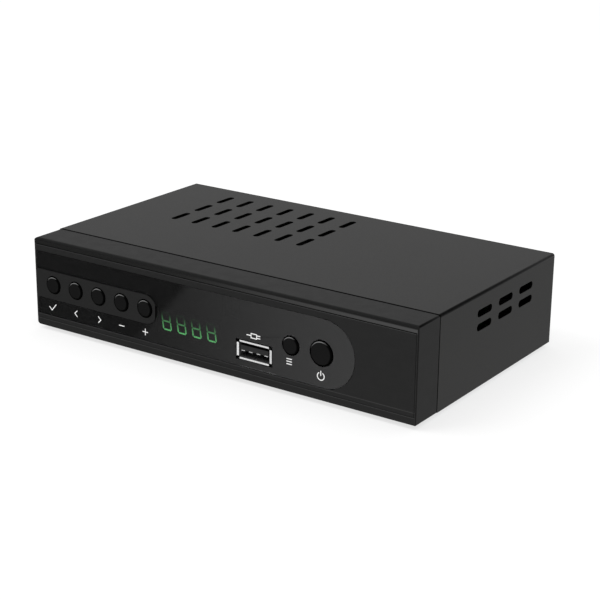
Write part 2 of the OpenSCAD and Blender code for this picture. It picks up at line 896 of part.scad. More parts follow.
module dc_jack_body() {
    body = [9, av_block_rear - dc_y, 11];
    color("#161616") placed() translate([dc_x, 0, 0]) difference() {
        union() {
            translate([-body.x / 2, dc_y, board_top]) cube(body);
            translate([0, av_block_rear - 0.1, dc_z]) disc_y(dc_nose_d, rear_y + 0.9 - av_block_rear);
        }
        translate([0, dc_floor_y, dc_z]) disc_y(dc_hole_d, 20);
        translate([0, dc_floor_y - 3, dc_z]) disc_y(dc_pin_root_d + 0.05, 4);
    }
}

module dc_jack_pin() {
    color("#c4c6c9") placed() translate([dc_x, dc_floor_y, dc_z])
        socket_pin(dc_pin_d, dc_pin_root_d, 2.8, 9.4);
}

// ---------------------------------------------------------------- nodes

top_cover();
bottom_chassis();
front_fascia();
display_window();
key(keys_x[0], key_hole_d);  // ok_key
key(keys_x[1], key_hole_d);  // left_key
key(keys_x[2], key_hole_d);  // right_key
key(keys_x[3], key_hole_d);  // minus_key
key(keys_x[4], key_hole_d);  // plus_key
key(menu_key_x, key_hole_d);  // menu_key
key(power_key_x, power_hole_d);  // power_key
plunger(keys_x[0]);  // ok_plunger
plunger(keys_x[1]);  // left_plunger
plunger(keys_x[2]);  // right_plunger
plunger(keys_x[3]);  // minus_plunger
plunger(keys_x[4]);  // plus_plunger
plunger(menu_key_x);  // menu_plunger
plunger(power_key_x);  // power_plunger
switch_bodies();
switch_plates();
front_board();
front_board_screws();
display_module();
display_segments();
infrared_receiver();
usb_shell();
usb_tongue();
usb_contacts();
main_board();
board_standoffs();
board_screws();
processor();
thermal_pad();
heat_sink();
memory_chips();
capacitors();
inductors();
crystal();
tuner_can();
aerial_sleeve(aerial_x, 11, aerial_in_inner_d);  // aerial_in_sleeve
aerial_insulator(aerial_x, aerial_in_inner_d, contact_d);  // aerial_in_insulator
aerial_in_contact();
aerial_sleeve(loop_x, loop_outer_d, loop_inner_d);  // loop_out_sleeve
aerial_insulator(loop_x, loop_inner_d, loop_pin_root_d);  // loop_out_insulator
loop_out_pin();
hdmi_shell();
hdmi_tongue();
av_jack_block();
av_jack_barrels();
av_insert(av_x[0], "#c9a722");  // video_insert
av_insert(av_x[1], "#dedcd6");  // left_audio_insert
av_insert(av_x[2], "#a3242a");  // right_audio_insert
dc_jack_body();
dc_jack_pin();
ribbon_cable();
ribbon_headers();
cover_screws();
fascia_screws();
rubber_feet();
rating_label();
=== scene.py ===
"""Looks of a compact digital television recorder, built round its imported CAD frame."""

import json
import math

import bmesh
import bpy
from mathutils import Matrix, Vector


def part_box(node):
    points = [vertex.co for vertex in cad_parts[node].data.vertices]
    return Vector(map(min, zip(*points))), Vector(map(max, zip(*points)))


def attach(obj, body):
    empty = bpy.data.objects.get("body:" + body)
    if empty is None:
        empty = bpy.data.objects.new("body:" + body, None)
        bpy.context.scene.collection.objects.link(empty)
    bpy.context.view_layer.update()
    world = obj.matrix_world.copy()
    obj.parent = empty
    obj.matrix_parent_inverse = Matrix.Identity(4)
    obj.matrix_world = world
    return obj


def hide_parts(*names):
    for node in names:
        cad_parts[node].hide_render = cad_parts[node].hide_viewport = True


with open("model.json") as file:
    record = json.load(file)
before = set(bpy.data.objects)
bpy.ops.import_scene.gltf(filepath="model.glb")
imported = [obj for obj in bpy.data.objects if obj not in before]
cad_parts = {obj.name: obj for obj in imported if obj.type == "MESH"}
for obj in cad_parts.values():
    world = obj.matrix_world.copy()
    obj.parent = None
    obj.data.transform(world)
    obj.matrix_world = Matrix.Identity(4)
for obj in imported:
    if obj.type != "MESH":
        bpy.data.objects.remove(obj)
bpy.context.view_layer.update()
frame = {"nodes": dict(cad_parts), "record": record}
nodes = frame["nodes"]

# ---------------------------------------------------------------- places
# Places below are in millimetres from the middle of the fascia's lower front edge:
# x to the right, y to the back, z up. at() turns them into the row frame, in metres.

MM = 0.001
FASCIA_LOW, FASCIA_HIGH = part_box("front_fascia")
WINDOW_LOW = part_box("display_window")[0]


def at(x, y, z):
    return Vector((x * MM, FASCIA_LOW.y + y * MM, FASCIA_LOW.z + z * MM))


def centre_of(node):
    """Middle of a CAD node's box, in millimetres from the fascia's lower front edge."""
    low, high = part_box(node)
    middle = (low + high) / 2
    return Vector((middle.x, middle.y - FASCIA_LOW.y, middle.z - FASCIA_LOW.z)) / MM


# ---------------------------------------------------------------- camera, light and floor

scene = bpy.context.scene
scene.view_settings.view_transform = "Standard"

CAMERA_AIM = (0.4, 42, 16.8)                     # a place near the middle of the case
CAMERA_ANGLES = (34.52, 19.04, 0.582)            # azimuth, elevation and roll, in degrees
CAMERA_DISTANCE = 589.6
CAMERA_SLIDE = (7.14, -1.65)                     # to the camera's own right and up, in millimetres


def make_camera():
    """Camera at the viewing angle of the reference, with its slight roll."""
    azimuth, elevation, roll = map(math.radians, CAMERA_ANGLES)
    slide_right, slide_up = CAMERA_SLIDE
    back = Vector((math.sin(azimuth) * math.cos(elevation),
                   -math.cos(azimuth) * math.cos(elevation),
                   math.sin(elevation)))
    level = Vector((math.cos(azimuth), math.sin(azimuth), 0))
    upright = back.cross(level)
    right = math.cos(roll) * level + math.sin(roll) * upright
    up = math.cos(roll) * upright - math.sin(roll) * level
    data = bpy.data.cameras.new("camera")
    data.sensor_width = 36
    data.lens = 94.75
    data.clip_start, data.clip_end = 0.01, 20
    camera = bpy.data.objects.new("camera", data)
    scene.collection.objects.link(camera)
    away = back * CAMERA_DISTANCE + right * slide_right + up * slide_up
    turned = Matrix((right, up, back)).transposed().to_4x4()
    camera.matrix_world = Matrix.Translation(at(*CAMERA_AIM) + away * MM) @ turned
    scene.camera = camera


def make_floor():
    """Pale floor that lights up a little by itself, so that only a faint shadow shows."""
    reach = 8
    corners = [(-reach, -reach, 0), (reach, -reach, 0), (reach, reach, 0), (-reach, reach, 0)]
    mesh = bpy.data.meshes.new("floor")
    mesh.from_pydata(corners, [], [(0, 1, 2, 3)])
    floor = bpy.data.objects.new("floor", mesh)
    scene.collection.objects.link(floor)
    floor.visible_glossy = False
    material = bpy.data.materials.new("floor")
    material.use_nodes = True
    shader = material.node_tree.nodes["Principled BSDF"]
    shader.inputs["Base Color"].default_value = (0.30, 0.30, 0.30, 1)
    shader.inputs["Emission Color"].default_value = (1, 1, 1, 1)
    shader.inputs["Emission Strength"].default_value = 0.7
    shader.inputs["Roughness"].default_value = 0.9
    shader.inputs["Specular IOR Level"].default_value = 0
    mesh.materials.append(material)


def make_softbox(name, place, target, size, power):
    """Rectangular light in metres and watts, which neither the camera nor shiny surfaces see."""
    data = bpy.data.lights.new(name, "AREA")
    data.shape = "RECTANGLE"
    data.size, data.size_y = size
    data.energy = power
    light = bpy.data.objects.new(name, data)
    scene.collection.objects.link(light)
    light.location = place
    light.rotation_mode = "QUATERNION"
    light.rotation_quaternion = (Vector(target) - Vector(place)).to_track_quat("-Z", "Y")
    light.visible_camera = False
    light.visible_glossy = False


# Soft areas that only shiny surfaces see, two pale and one dark:
# looking direction, edge and blur as cosines, strength
GLOSSY_PANELS = (
    ((-0.54, 0.78, 0.33), 0.77, 0.20, 0.28),     # behind on the left, low: seen in the case's top
    ((0.54, 0.78, -0.33), 0.82, 0.16, 0.27),     # floor behind on the right: seen in its right side
    ((0.25, 0.78, 0.58), 0.82, 0.10, -0.15),     # dark corner: seen in the case's right bend
)
MATT_LIGHT = 0.85                                # the even white room that matt surfaces see
GLOSSY_LIGHT = 0.155                             # the darker room that shiny surfaces see
CARD_LIGHT = (0.1, 1.0)                          # the card past its faded end, and what it gains
# Soft outer limits of the card, upward, backward and to the right: direction, edge and blur
CARD_LIMITS = (((0, 0, -1), -0.3, 0.15), ((0, -1, 0), 0.1, 0.1), ((-1, 0, 0), 0.0, 0.25))


def plug(tree, source, socket):
    """Feeds a socket from another socket, or sets it to a plain number."""
    if isinstance(source, (int, float)):
        socket.default_value = source
    else:
        tree.links.new(source, socket)


def make_world():
    """Even white light for matt surfaces, and a darker room with a pale card for shiny ones."""
    world = bpy.data.worlds.new("studio")
    scene.world = world
    world.use_nodes = True
    world.cycles.sampling_method = "NONE"
    tree = world.node_tree
    tree.nodes.clear()
    new, link = tree.nodes.new, tree.links.new

    def math_node(operation, first, second):
        node = new("ShaderNodeMath")
        node.operation = operation
        plug(tree, first, node.inputs[0])
        plug(tree, second, node.inputs[1])
        return node.outputs[0]

    def side(direction, edge, blur):
        """0 to 1 across the plane where the looking direction's share along direction is edge."""
        dot = new("ShaderNodeVectorMath")
        dot.operation = "DOT_PRODUCT"
        link(looking, dot.inputs[0])
        dot.inputs[1].default_value = Vector(direction).normalized()
        step = new("ShaderNodeMapRange")
        step.interpolation_type = "SMOOTHSTEP"
        link(dot.outputs["Value"], step.inputs["Value"])
        step.inputs["From Min"].default_value = edge - blur
        step.inputs["From Max"].default_value = edge + blur
        return step.outputs["Result"]

    looking = new("ShaderNodeTexCoord").outputs["Generated"]
    card = side(CARD_EDGE, 0.0, 0.004)
    for direction, edge, blur in CARD_LIMITS:
        card = math_node("MULTIPLY", card, side(direction, edge, blur))
    dimmest, gain = CARD_LIGHT
    fade = math_node("ADD", dimmest, math_node("MULTIPLY", side(CARD_FADE, 0.0, 0.09), gain))
    seen = math_node("ADD", GLOSSY_LIGHT, math_node("MULTIPLY", card, fade))
    for direction, edge, blur, strength in GLOSSY_PANELS:
        seen = math_node("ADD", seen, math_node("MULTIPLY", side(direction, edge, blur), strength))
    glossy = new("ShaderNodeLightPath").outputs["Is Glossy Ray"]
    matt = math_node("SUBTRACT", 1, glossy)
    total = math_node("ADD", math_node("MULTIPLY", glossy, seen),
                      math_node("MULTIPLY", matt, MATT_LIGHT))
    background = new("ShaderNodeBackground")
    link(total, background.inputs["Strength"])
    output = new("ShaderNodeOutputWorld")
    link(background.outputs[0], output.inputs[0])


def mirrored_ray(x, z):
    """Direction in which the window's face throws the camera's view of its point x, z."""
    ray = at(x, 0, z) - scene.camera.matrix_world.translation
    ray.y = -ray.y
    return ray.normalized()


make_camera()
# Two planes bound the card's reflection in the window: its slanting left edge, and the upright
# line about which it fades. The place at 30.4, 17 is on the bright side of both.
CARD_EDGE = mirrored_ray(-10.6, 29.8).cross(mirrored_ray(-21.6, 18.5))
CARD_FADE = Vector((0, 0, 1)).cross(mirrored_ray(12.4, 17))
for plane in (CARD_EDGE, CARD_FADE):
    if plane.dot(mirrored_ray(30.4, 17)) < 0:
        plane.negate()
make_floor()
make_world()
make_softbox("key_softbox", (-0.9, -0.7, 1.5), (0, 0, 0), (1.0, 1.0), 14)
make_softbox("top_softbox", (0.1, 0.3, 1.8), (0, 0, 0), (1.6, 1.6), 10)

# ---------------------------------------------------------------- materials


class Recipe:
    """One material's node tree, built up a step at a time in object coordinates, in metres."""

    def __init__(self, name):
        self.material = bpy.data.materials.new(name)
        self.material.use_nodes = True
        self.tree = self.material.node_tree
        self.shader = self.tree.nodes["Principled BSDF"]
        self.place = self.tree.nodes.new("ShaderNodeTexCoord").outputs["Object"]

    def node(self, kind, **settings):
        made = self.tree.nodes.new(kind)
        for key, setting in settings.items():
            setattr(made, key, setting)
        return made

    def link(self, source, target):
        self.tree.links.new(source, target)

    def set(self, **values):
        """Sets single values on the shader's own sockets, such as roughness=0.4."""
        for key, setting in values.items():
            label = key.replace("_", " ").title().replace("Ior", "IOR")
            self.shader.inputs[label].default_value = setting

    def stretched(self, stretch):
        mapping = self.node("ShaderNodeMapping")
        mapping.inputs["Scale"].default_value = stretch
        self.link(self.place, mapping.inputs["Vector"])
        return mapping.outputs["Vector"]

    def noise(self, size_mm, detail=3.0, stretch=None):
        """Noise whose blotches are about size_mm across, longer where stretch is under 1."""
        node = self.node("ShaderNodeTexNoise")
        self.link(self.stretched(stretch) if stretch else self.place, node.inputs["Vector"])
        node.inputs["Scale"].default_value = 1 / (size_mm * MM)
        node.inputs["Detail"].default_value = detail
        node.inputs["Roughness"].default_value = 0.55
        return node.outputs["Fac"]

    def spread(self, source, low, high, start=0.3, end=0.7):
        """Maps a texture's middle range onto low to high."""
        node = self.node("ShaderNodeMapRange")
        self.link(source, node.inputs["Value"])
        node.inputs["From Min"].default_value = start
        node.inputs["From Max"].default_value = end
        node.inputs["To Min"].default_value = low
        node.inputs["To Max"].default_value = high
        return node.outputs["Result"]

    def blend(self, factor, first, second):
        """Colour that goes from first to second as factor goes from 0 to 1."""
        node = self.node("ShaderNodeMix", data_type="RGBA")
        self.link(factor, node.inputs["Factor"])
        for socket, colour in ((node.inputs[6], first), (node.inputs[7], second)):
            if isinstance(colour, tuple):
                socket.default_value = (*colour, 1)
            else:
                self.link(colour, socket)
        return node.outputs[2]

    def parts(self, vector):
        """The X, Y and Z of a vector, by letter."""
        node = self.node("ShaderNodeSeparateXYZ")
        self.link(vector, node.inputs[0])
        return node.outputs

    def sum_of(self, operation, first, second=0.0):
        """One arithmetic node over sockets or plain numbers."""
        node = self.node("ShaderNodeMath", operation=operation)
        for socket, term in zip(node.inputs, (first, second)):
            plug(self.tree, term, socket)
        return node.outputs[0]

    def size_of(self, value):
        return self.sum_of("ABSOLUTE", value)

    def above(self, value, limit):
        return self.sum_of("GREATER_THAN", value, limit)

    def below(self, value, limit):
        return self.sum_of("LESS_THAN", value, limit)

    def both(self, first, second):
        return self.sum_of("MULTIPLY", first, second)

    def either(self, first, second):
        return self.sum_of("MAXIMUM", first, second)

    def between(self, value, low, high):
        return self.both(self.above(value, low), self.below(value, high))

    def normal(self):
        """The surface's direction, before any bump."""
        return self.node("ShaderNodeNewGeometry").outputs["Normal"]

    def on_long_edge(self, facing):
        """1 where the surface turns from the top over to a side, given the parts of its normal."""
        return self.both(self.between(self.size_of(facing["X"]), 0.2, 0.98),
                         self.between(facing["Z"], 0.2, 0.98))

    def bump(self, height, depth_mm, under=None):
        """Relief depth_mm deep that follows height, on top of another relief where given."""
        node = self.node("ShaderNodeBump")
        self.link(height, node.inputs["Height"])
        node.inputs["Strength"].default_value = 1
        node.inputs["Distance"].default_value = depth_mm * MM
        if under is not None:
            self.link(under, node.inputs["Normal"])
        return node.outputs["Normal"]

    def finish(self, colour=None, roughness=None, normal=None):
        for source, name in ((colour, "Base Color"), (roughness, "Roughness"), (normal, "Normal")):
            if source is not None:
                self.link(source, self.shader.inputs[name])
        return self.material


def moulded(name, colour, roughness=(0.36, 0.46), grain_mm=0.18, depth_mm=0.006, **values):
    """Moulded plastic: spark-eroded grain, faint mottling and a little wear in the gloss."""
    recipe = Recipe(name)
    recipe.set(**values)
    mottle = recipe.noise(9)
    pale = tuple(min(1, c * 1.18 + 0.001) for c in colour)
    normal = recipe.bump(recipe.noise(grain_mm, detail=2), depth_mm)
    return recipe.finish(recipe.blend(mottle, colour, pale),
                         recipe.spread(recipe.noise(2.5), *roughness), normal)


def metal(name, colour, roughness=(0.2, 0.34), grain=(1, 1, 12), size_mm=0.9, depth_mm=0.003):
    """Bare or plated metal with a drawn grain along the direction that grain squeezes least."""
    recipe = Recipe(name)
    recipe.set(metallic=1.0)
    streaks = recipe.noise(size_mm, detail=5, stretch=grain)
    dark = tuple(c * 0.78 for c in colour)
    normal = recipe.bump(streaks, depth_mm)
    return recipe.finish(recipe.blend(streaks, dark, colour),
                         recipe.spread(streaks, *roughness), normal)


# colour of painted shade in vents and seams, along bends and on the keys' rims
NEAR_BLACK = (0.002, 0.002, 0.002)
SHADED = 0.9                                     # least roughness on the strips of painted shade along the seam
SHEET_EDGE = 0.9 * MM                            # a little over the cover's sheet thickness
VENT_MARGIN = 5 * MM                             # no slot is nearer to the cover's ends
EDGE_SHADE = 0.3 * MM                            # strip of painted shade, also dulled, along each side of the top's seam
SEAM = 0.5 * MM                                  # gap between fascia and cover along the top


def cover_paint():
    """Fine satin powder coat, pebbled, with painted shade: nearly black on the cut edges in vents and
    seam and on a strip of the top by the seam, darker along the bends.
    """
    recipe = Recipe("cover_paint")
    recipe.set(specular_ior_level=0.5)
    pebble = recipe.noise(0.22, detail=2.5)
    cloud = recipe.noise(30, detail=2)
    normal = recipe.bump(pebble, 0.012)
    colour = recipe.blend(cloud, (0.0125, 0.0125, 0.0120), (0.0155, 0.0155, 0.0148))
    speck = recipe.blend(recipe.spread(pebble, 0, 1, 0.62, 0.8), colour, (0.030, 0.030, 0.029))
    low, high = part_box("top_cover")
    facing = recipe.parts(recipe.normal())
    spot = recipe.parts(recipe.place)
    # painted shade, near black: the walls of the vent slots, the cut edge at the seam and a strip of
    # the top along it
    in_top = recipe.both(recipe.above(spot["Z"], high.z - SHEET_EDGE),
                         recipe.between(facing["Z"], -0.5, 0.5))
    in_side = recipe.both(recipe.above(recipe.size_of(spot["X"]), high.x - SHEET_EDGE),
                          recipe.between(facing["X"], -0.5, 0.5))
    in_slot = recipe.both(recipe.either(in_top, in_side),
                          recipe.between(spot["Y"], low.y + VENT_MARGIN, high.y - VENT_MARGIN))
    at_seam = recipe.both(recipe.below(facing["Y"], -0.5), recipe.below(spot["Y"], low.y + MM))
    on_top_edge = recipe.both(recipe.above(facing["Z"], 0.5),
                              recipe.below(spot["Y"], low.y + EDGE_SHADE))
    dark = recipe.either(recipe.either(in_slot, at_seam), on_top_edge)
    # painted shade along the cover's bends
    speck = recipe.blend(recipe.on_long_edge(facing), speck, (0.004, 0.004, 0.004))
    roughness = recipe.either(recipe.spread(pebble, 0.28, 0.38), recipe.both(on_top_edge, SHADED))
    return recipe.finish(recipe.blend(dark, speck, NEAR_BLACK), roughness, normal)


PANEL_TOP = at(0, 0, 32.3).z                     # the groove under the brow
BROW_CHANGE = -10 * MM                           # where the painted reflection on the brow starts, growing towards the right
# Heights between which fine edges of the front get a painted highlight: under the brow's groove,
# under the window and under the sill's groove
EDGE_HIGHLIGHT_HEIGHTS = ((31.93, 32.08), (4.42, 4.60), (2.58, 2.75))


def fascia_plastic():
    """Satin moulding with fine lines along the case, duller on its panel, glossier on its brow, with
    a painted reflection on the brow's right part, painted highlights along fine edges of the front
    and painted shade by the seam and along the rounded top edges.
    """
    recipe = Recipe("fascia_plastic")
    recipe.set(specular_ior_level=0.33)
    lines = recipe.noise(0.28, detail=3, stretch=(0.02, 1, 1))
    grain = recipe.noise(0.2, detail=2)
    normal = recipe.bump(lines, 0.008, under=recipe.bump(grain, 0.004))
    colour = recipe.blend(lines, (0.0080, 0.0080, 0.0080), (0.0125, 0.0125, 0.0123))
    facing = recipe.parts(recipe.normal())
    spot = recipe.parts(recipe.place)
    upright = recipe.spread(facing["Y"], 1, 0, -0.999, -0.99)
    panel = recipe.both(upright, recipe.below(spot["Z"], PANEL_TOP))
    brow = recipe.both(upright, recipe.above(spot["Z"], PANEL_TOP))
    change = recipe.sum_of("SUBTRACT", recipe.both(panel, 0.18), recipe.both(brow, 0.24))
    roughness = recipe.sum_of("ADD", recipe.spread(recipe.noise(4), 0.34, 0.39), change)
    # painted reflection: the brow turns paler towards the right end
    paler = recipe.both(brow, recipe.spread(spot["X"], 0, 1, BROW_CHANGE, FASCIA_HIGH.x))
    colour = recipe.blend(paler, colour, (0.042, 0.042, 0.042))
    # painted highlights along the fine edges of the front
    for bottom, top in EDGE_HIGHLIGHT_HEIGHTS:
        band = recipe.between(spot["Z"], at(0, 0, bottom).z, at(0, 0, top).z)
        colour = recipe.blend(recipe.both(upright, band), colour, (0.045, 0.045, 0.045))
    # painted shade, near black: a strip of the top by the seam and the rounded top edges
    seam_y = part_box("top_cover")[0].y - SEAM - EDGE_SHADE
    top_edge = recipe.both(recipe.above(facing["Z"], 0.5), recipe.above(spot["Y"], seam_y))
    dark = recipe.either(top_edge, recipe.on_long_edge(facing))
    colour = recipe.blend(dark, colour, NEAR_BLACK)
    roughness = recipe.either(roughness, recipe.both(top_edge, SHADED))
    return recipe.finish(colour, roughness, normal)


def key_plastic():
    """Satin black cap, with a painted highlight along the upper left of its rounded rim and painted
    shade on the rest of its rim and sides.
    """
    recipe = Recipe("key_plastic")
    recipe.set(specular_ior_level=0.03)
    mottle = recipe.blend(recipe.noise(9), (0.0070, 0.0070, 0.0070), (0.0090, 0.0090, 0.0090))
    normal = recipe.normal()
    forward = recipe.parts(normal)["Y"]
    # painted shade: faces turned away from the front go near black
    body = recipe.blend(recipe.spread(forward, 0, 1, -0.95, -0.8), mottle, NEAR_BLACK)
    # painted highlight along the upper left of the rim
    upper_left = recipe.node("ShaderNodeVectorMath", operation="DOT_PRODUCT")
    recipe.link(normal, upper_left.inputs[0])
    upper_left.inputs[1].default_value = (-0.34, 0, 0.94)
    painted_glint = recipe.both(recipe.spread(upper_left.outputs["Value"], 0, 1, 0.42, 0.66),
                         recipe.between(forward, -0.88, -0.52))
    return recipe.finish(recipe.blend(painted_glint, body, (0.19, 0.19, 0.19)),
                         recipe.spread(recipe.noise(2.5), 0.22, 0.30),
                         recipe.bump(recipe.noise(0.15, detail=2), 0.003))


def window_plastic():
    """Smoked acrylic, polished, with the faintest moulding flow and a few fine wipe marks."""
    recipe = Recipe("window_plastic")
    recipe.set(transmission_weight=1.0, ior=1.49)
    tint = recipe.blend(recipe.noise(20), (0.06, 0.06, 0.06), (0.075, 0.075, 0.075))
    wipes = recipe.noise(0.5, detail=4, stretch=(0.12, 1, 1))
    return recipe.finish(tint, recipe.spread(wipes, 0.002, 0.012),
                         recipe.bump(recipe.noise(30, detail=1), 0.001))


def segment_lens():
    """Green light guides, bright at the foot of each digit and fading towards its top."""
    recipe = Recipe("segment_lens")
    low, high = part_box("display_segments")
    faded = low.z + (high.z - low.z) * 0.87
    glow = recipe.spread(recipe.parts(recipe.place)["Z"], 14, 0.3, low.z, faded)
    strength = recipe.both(glow, recipe.spread(recipe.noise(0.4), 0.85, 1.1))
    recipe.shader.inputs["Emission Color"].default_value = (0.10, 0.44, 0.14, 1)
    recipe.link(strength, recipe.shader.inputs["Emission Strength"])
    recipe.set(roughness=0.35)
    return recipe.finish(recipe.blend(recipe.noise(1.5), (0.02, 0.06, 0.03), (0.03, 0.08, 0.04)))


def chassis_steel():
    """Zinc-plated sheet with a rolling grain, with painted shade on the faces that look into the
    case.
    """
    recipe = Recipe("chassis_steel")
    recipe.set(metallic=1.0)
    streaks = recipe.noise(1.2, detail=5, stretch=(1, 0.04, 1))
    plate = recipe.blend(streaks, (0.39, 0.40, 0.41), (0.50, 0.51, 0.52))
    # painted shade on the faces that look into the case
    inward_shade = recipe.below(recipe.parts(recipe.normal())["Y"], -0.5)
    return recipe.finish(recipe.blend(inward_shade, plate, (0.05, 0.05, 0.05)),
                         recipe.spread(streaks, 0.30, 0.45), recipe.bump(streaks, 0.003))


def board_resin():
    """Green solder mask with tracks that show through as paler, raised lines."""
    recipe = Recipe("board_resin")
    tracks = recipe.node("ShaderNodeTexBrick", offset=0.5, offset_frequency=3)
    recipe.link(recipe.place, tracks.inputs["Vector"])
    for label, setting in (("Scale", 260), ("Mortar Size", 0.03), ("Brick Width", 1.3),
                           ("Row Height", 0.35)):
        tracks.inputs[label].default_value = setting
    mask = recipe.blend(recipe.noise(12), (0.006, 0.060, 0.022), (0.010, 0.085, 0.032))
    colour = recipe.blend(tracks.outputs["Fac"], mask, (0.03, 0.16, 0.06))
    recipe.set(coat_weight=0.3)
    return recipe.finish(colour, recipe.spread(recipe.noise(3), 0.28, 0.4),
                         recipe.bump(tracks.outputs["Fac"], 0.02))


def ribbon_plastic():
    """Flat cable of fine parallel wires."""
    recipe = Recipe("ribbon_plastic")
    wires = recipe.node("ShaderNodeTexWave", bands_direction="X", wave_profile="SIN")
    recipe.link(recipe.place, wires.inputs["Vector"])
    wires.inputs["Scale"].default_value = 160
    colour = recipe.blend(wires.outputs["Fac"], (0.42, 0.40, 0.35), (0.62, 0.60, 0.54))
    return recipe.finish(colour, recipe.spread(recipe.noise(2), 0.4, 0.5),
                         recipe.bump(wires.outputs["Fac"], 0.15))


def rim_steel():
    """Bright plated lips in front, with painted shade on the steel further inside the socket."""
    recipe = Recipe("rim_steel")
    recipe.set(metallic=0.5)
    streaks = recipe.noise(0.5, detail=4, stretch=(1, 0.1, 1))
    plate = recipe.blend(streaks, (0.86, 0.86, 0.86), (0.97, 0.97, 0.97))
    # painted shade deeper in the socket
    inside = recipe.above(recipe.parts(recipe.place)["Y"], at(0, 0.22, 0).y)
    return recipe.finish(recipe.blend(inside, plate, (0.10, 0.10, 0.10)),
                         recipe.spread(streaks, 0.2, 0.3), recipe.bump(streaks, 0.002))


# Finishes of the CAD nodes, by the record's material slots
MATERIALS = {
    "cover_paint": cover_paint(),
    "chassis_steel": chassis_steel(),
    "fascia_plastic": fascia_plastic(),
    "window_plastic": window_plastic(),
    "key_plastic": key_plastic(),
    "plunger_plastic": moulded("plunger_plastic", (0.03, 0.03, 0.03)),
    "switch_plastic": moulded("switch_plastic", (0.02, 0.02, 0.02)),
    "switch_steel": metal("switch_steel", (0.55, 0.55, 0.55)),
    "board_resin": board_resin(),
    "plated_screw": metal("plated_screw", (0.62, 0.62, 0.60), (0.22, 0.36), (1, 1, 1), 0.5),
    "display_plastic": moulded("display_plastic", (0.004, 0.004, 0.004), (0.5, 0.6)),
    "segment_lens": segment_lens(),
    "infrared_plastic": moulded("infrared_plastic", (0.012, 0.006, 0.012), (0.08, 0.14), 1, 0.001),
    "socket_steel": metal("socket_steel", (0.94, 0.94, 0.93), (0.14, 0.24), (1, 0.1, 1), 0.6,
                          0.001),
    "socket_plastic": moulded("socket_plastic", (0.008, 0.008, 0.008)),
    "contact_gold": metal("contact_gold", (0.86, 0.66, 0.34), (0.15, 0.25), (1, 0.1, 1), 0.5,
                          0.001),
    "pin_steel": metal("pin_steel", (0.75, 0.75, 0.74), (0.12, 0.2), (1, 0.1, 1), 0.5, 0.001),
    "standoff_brass": metal("standoff_brass", (0.72, 0.55, 0.27), (0.2, 0.32), (0.1, 0.1, 1), 0.3),
    "chip_epoxy": moulded("chip_epoxy", (0.012, 0.012, 0.013), (0.5, 0.62), 0.12, 0.008),
    "thermal_rubber": moulded("thermal_rubber", (0.26, 0.36, 0.44), (0.6, 0.7)),
    "sink_aluminium": metal("sink_aluminium", (0.70, 0.70, 0.71), (0.3, 0.42), (1, 0.05, 1), 0.6),
    "capacitor_sleeve": moulded("capacitor_sleeve", (0.012, 0.016, 0.030), (0.2, 0.3), 2, 0.002),
    "ferrite": moulded("ferrite", (0.045, 0.045, 0.047), (0.55, 0.7), 0.25, 0.02),
    "crystal_steel": metal("crystal_steel", (0.68, 0.68, 0.69)),
    "tuner_tin": metal("tuner_tin", (0.60, 0.61, 0.61), (0.24, 0.4), (1, 0.2, 1), 2.0),
    "insulator_plastic": moulded("insulator_plastic", (0.72, 0.70, 0.64)),
    "yellow_plastic": moulded("yellow_plastic", (0.66, 0.42, 0.02), (0.25, 0.34)),
    "white_plastic": moulded("white_plastic", (0.72, 0.71, 0.68), (0.25, 0.34)),
    "red_plastic": moulded("red_plastic", (0.46, 0.02, 0.02), (0.25, 0.34)),
    "ribbon_plastic": ribbon_plastic(),
    "header_plastic": moulded("header_plastic", (0.70, 0.66, 0.56)),
    "black_screw": moulded("black_screw", (0.010, 0.010, 0.010), (0.25, 0.35), 0.2, 0.004,
                           metallic=0.6),
    "foot_rubber": moulded("foot_rubber", (0.010, 0.010, 0.010), (0.6, 0.75), 0.3, 0.02),
    "label_film": moulded("label_film", (0.58, 0.58, 0.57), (0.3, 0.4), 0.4, 0.002),
}
RIM = rim_steel()
INK = moulded("legend_ink", (0.86, 0.86, 0.85), (0.45, 0.55), 0.12, 0.002)

for part in frame["record"]["subparts"]:
    slots = nodes[part["node"]].data.materials
    for index in range(len(slots)):
        slots[index] = MATERIALS[part["material_slot"]]

# ---------------------------------------------------------------- softened edges


def round_edges(thing, width_mm, sharpest):
    """Rounds the edges that turn by more than so many degrees, so that they catch the light."""
    bevel = thing.modifiers.new("edges", "BEVEL")
    bevel.width = width_mm * MM
    bevel.segments = 2
    bevel.limit_method = "ANGLE"
    bevel.angle_limit = math.radians(sharpest)


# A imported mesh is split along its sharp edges, so it is welded there before the bevel
for softened, width in (("display_window", 0.12), ("front_fascia", 0.07), ("top_cover", 0.2)):
    weld = nodes[softened].modifiers.new("weld", "WELD")
    weld.merge_threshold = 0.0005 * MM
    round_edges(nodes[softened], width, 35)

# ---------------------------------------------------------------- printed signs

INK_THICKNESS = 0.03
INK_STEP = 0.001                                 # each shape lies this much over the one before
STROKE = 0.17                                    # half the width of a printed line
THICK_STROKE = 0.18


def stroke(points, width=STROKE, closed=False):
    """Outline strips of a printed line with round ends, as lists of x, z points."""
    shapes = []
    ends = points[1:] + points[:1] if closed else points[1:]
    for start, end in zip(points, ends):
        along = math.atan2(end[1] - start[1], end[0] - start[0])
        outline = []
        for centre, turn in ((end, -90), (start, 90)):
            for step in range(9):
                a = along + math.radians(turn + 180 * step / 8)
                outline.append((centre[0] + width * math.cos(a), centre[1] + width * math.sin(a)))
        shapes.append(outline)
    return shapes


def arc(radius, start, end, steps=24):
    """Points on a circle from start to end, in degrees counted up from the +x direction."""
    turns = [math.radians(start + (end - start) * i / steps) for i in range(steps + 1)]
    return [(radius * math.cos(a), radius * math.sin(a)) for a in turns]


